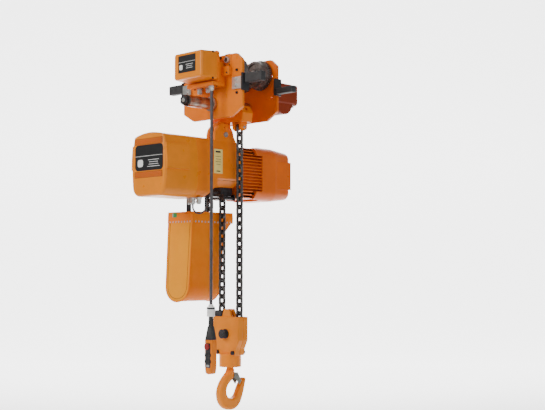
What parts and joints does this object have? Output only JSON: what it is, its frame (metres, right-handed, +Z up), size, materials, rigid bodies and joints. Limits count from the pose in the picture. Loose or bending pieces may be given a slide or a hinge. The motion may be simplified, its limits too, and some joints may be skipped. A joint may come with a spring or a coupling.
{
  "type": "electric chain hoist",
  "caption": "Electric chain hoist on a motorised beam trolley, with control pendant, chain bag, two-fall load chain and swivel hook block with a safety latch.",
  "frame": {"origin": "on the rail surface, the top of the beam's lower flange, at the middle of the trolley", "axes": "+X along the beam, +Y across it towards the travel motor, +Z up"},
  "size_m": [0.572, 0.753, 1.5011],
  "materials": {
    "orange_paint": "semi-gloss powder coat",
    "galvanised_steel": "zinc plated, satin",
    "spacer_steel": "zinc plated, satin, slightly tarnished",
    "wheel_steel": "machined, lightly oiled",
    "gear_steel": "machined, oiled",
    "laminated_steel": "laminated, varnished",
    "chain_steel": "blackened, oiled",
    "latch_steel": "zinc plated, dull",
    "black_rubber": "matt",
    "black_plastic": "fine matt grain",
    "grey_plastic": "satin",
    "stop_red": "satin",
    "bag_fabric": "coated woven fabric"
  },
  "bodies": {
    "trolley": {"front_side_plate": "orange_paint", "rear_side_plate": "orange_paint", "suspension_shaft": "galvanised_steel", "shaft_spacers": "spacer_steel", "wheel_axles": "galvanised_steel", "trolley_nuts": "galvanised_steel", "travel_gear_case": "orange_paint", "travel_motor_cover": "orange_paint", "control_box_base": "orange_paint", "control_box_cover": "orange_paint", "trolley_glands": "black_plastic", "bumper_brackets": "galvanised_steel", "bumpers": "black_rubber"},
    "wheel_front_left": {"wheel_front_left": "wheel_steel"},
    "wheel_front_right": {"wheel_front_right": "wheel_steel"},
    "wheel_rear_left": {"wheel_rear_left": "wheel_steel"},
    "wheel_rear_right": {"wheel_rear_right": "wheel_steel"},
    "travel_pinion": {"travel_pinion": "wheel_steel"},
    "travel_rotor": {"travel_rotor": "gear_steel"},
    "hoist": {"suspension_yoke": "orange_paint", "suspension_pins": "galvanised_steel", "hoist_frame": "orange_paint", "control_cover": "orange_paint", "contactor_panel": "black_plastic", "motor_housing": "orange_paint", "motor_stator": "laminated_steel", "fan_cover": "orange_paint", "chain_guide": "latch_steel", "limit_cable": "black_plastic", "hoist_glands": "black_plastic", "hoist_screws": "galvanised_steel", "chain_bag": "bag_fabric", "bag_hanger": "galvanised_steel", "load_chain_upper": "chain_steel"},
    "motor_rotor": {"motor_rotor": "gear_steel", "brake_disc": "gear_steel", "cooling_fan": "black_plastic"},
    "clutch_gear": {"clutch_gear": "gear_steel"},
    "countershaft": {"countershaft": "gear_steel"},
    "load_sheave": {"load_sheave": "gear_steel"},
    "limit_lever": {"limit_lever": "latch_steel"},
    "hook_block": {"block_shell_front": "orange_paint", "block_shell_rear": "orange_paint", "block_pins": "galvanised_steel", "chain_stop": "black_rubber", "load_chain_lower": "chain_steel"},
    "idle_sheave": {"idle_sheave": "gear_steel"},
    "hook": {"hook": "orange_paint", "hook_nut": "galvanised_steel"},
    "safety_latch": {"safety_latch": "latch_steel"},
    "pendant": {"pendant_cable": "black_plastic", "cable_clamp": "grey_plastic", "pendant_boot": "black_rubber", "pendant_case_front": "orange_paint", "pendant_case_rear": "orange_paint"},
    "stop_button": {"stop_button": "stop_red"},
    "up_button": {"up_button": "black_plastic"},
    "down_button": {"down_button": "black_plastic"},
    "left_button": {"left_button": "black_plastic"},
    "right_button": {"right_button": "black_plastic"}
  },
  "joints": [
    {"name": "wheel_front_left_spin", "type": "hinge", "parent": "trolley", "child": "wheel_front_left", "pos_m": [-0.095, -0.068, 0.057], "axis": [0, 1, 0], "continuous": true},
    {"name": "wheel_front_right_spin", "type": "hinge", "parent": "trolley", "child": "wheel_front_right", "pos_m": [0.095, -0.068, 0.057], "axis": [0, 1, 0], "continuous": true},
    {"name": "wheel_rear_right_spin", "type": "hinge", "parent": "trolley", "child": "wheel_rear_right", "pos_m": [0.095, 0.068, 0.057], "axis": [0, 1, 0], "continuous": true},
    {"name": "wheel_rear_left_spin", "type": "hinge", "parent": "trolley", "child": "wheel_rear_left", "pos_m": [-0.095, 0.068, 0.057], "axis": [0, 1, 0], "continuous": true},
    {"name": "travel_pinion_spin", "type": "hinge", "parent": "trolley", "child": "travel_pinion", "pos_m": [0, 0.1, 0.03506], "axis": [0, 1, 0], "continuous": true},
    {"name": "travel_rotor_spin", "type": "hinge", "parent": "trolley", "child": "travel_rotor", "pos_m": [0, 0.2, -0.00181], "axis": [0, 1, 0], "continuous": true},
    {"name": "hoist_swing", "type": "hinge", "parent": "trolley", "child": "hoist", "pos_m": [0, 0, -0.078], "axis": [0, 1, 0], "range_deg": [0, 4]},
    {"name": "motor_rotor_spin", "type": "hinge", "parent": "hoist", "child": "motor_rotor", "pos_m": [-0.09072, 0, -0.356], "axis": [0, 1, 0], "continuous": true},
    {"name": "clutch_gear_spin", "type": "hinge", "parent": "hoist", "child": "clutch_gear", "pos_m": [-0.09072, -0.116, -0.296], "axis": [0, 1, 0], "continuous": true},
    {"name": "hook_lift", "type": "slide", "parent": "hoist", "child": "hook_block", "axis": [0, 0, 1], "range_m": [0, 0.346], "deforming": ["load_chain_upper", "load_chain_lower"]},
    {"name": "load_sheave_spin", "type": "hinge", "parent": "hoist", "child": "load_sheave", "pos_m": [-0.09072, 0, -0.356], "axis": [0, 1, 0], "range_deg": [-920, 20]},
    {"name": "countershaft_spin", "type": "hinge", "parent": "hoist", "child": "countershaft", "pos_m": [-0.09072, -0.09, -0.296], "axis": [0, 1, 0], "range_deg": [-80, 3680]},
    {"name": "idle_sheave_spin", "type": "hinge", "parent": "hook_block", "child": "idle_sheave", "pos_m": [0, 0, -1.048], "axis": [0, 1, 0], "range_deg": [-10, 370]},
    {"name": "hook_swivel", "type": "hinge", "parent": "hook_block", "child": "hook", "pos_m": [0, 0, -1.17], "axis": [0, 0, 1], "continuous": true},
    {"name": "safety_latch_pivot", "type": "hinge", "parent": "hook", "child": "safety_latch", "pos_m": [0, 0.017, -1.224], "axis": [1, 0, 0], "range_deg": [-50, 0], "stiffness_Nm_per_rad": 0.3, "springref_deg": 12},
    {"name": "limit_lever_pivot", "type": "hinge", "parent": "hoist", "child": "limit_lever", "pos_m": [-0.01736, 0, -0.471], "axis": [0, 1, 0], "range_deg": [0, 4], "stiffness_Nm_per_rad": 1, "springref_deg": -10},
    {"name": "pendant_swing", "type": "hinge", "parent": "trolley", "child": "pendant", "pos_m": [0.062, -0.17, -0.036], "axis": [1, 0, 0], "range_deg": [-6, 6]},
    {"name": "stop_button_press", "type": "slide", "parent": "pendant", "child": "stop_button", "axis": [0, 1, 0], "range_m": [0, 0.005], "stiffness_N_per_m": 300, "springref_m": -0.002},
    {"name": "up_button_press", "type": "slide", "parent": "pendant", "child": "up_button", "axis": [0, 1, 0], "range_m": [0, 0.004], "stiffness_N_per_m": 300, "springref_m": -0.002},
    {"name": "down_button_press", "type": "slide", "parent": "pendant", "child": "down_button", "axis": [0, 1, 0], "range_m": [0, 0.004], "stiffness_N_per_m": 300, "springref_m": -0.002},
    {"name": "left_button_press", "type": "slide", "parent": "pendant", "child": "left_button", "axis": [0, 1, 0], "range_m": [0, 0.004], "stiffness_N_per_m": 300, "springref_m": -0.002},
    {"name": "right_button_press", "type": "slide", "parent": "pendant", "child": "right_button", "axis": [0, 1, 0], "range_m": [0, 0.004], "stiffness_N_per_m": 300, "springref_m": -0.002}
  ],
  "couplings": [
    {"joint": "wheel_rear_left_spin", "follows": "wheel_rear_right_spin", "ratio": 1},
    {"joint": "travel_pinion_spin", "follows": "wheel_rear_right_spin", "ratio": -1.7083},
    {"joint": "travel_rotor_spin", "follows": "wheel_rear_right_spin", "ratio": 6.0449},
    {"joint": "clutch_gear_spin", "follows": "motor_rotor_spin", "ratio": -0.17647},
    {"joint": "load_sheave_spin", "follows": "hook_lift", "rad_per_m": -45.399},
    {"joint": "countershaft_spin", "follows": "hook_lift", "rad_per_m": 181.59},
    {"joint": "idle_sheave_spin", "follows": "hook_lift", "rad_per_m": 18.159}
  ]
}
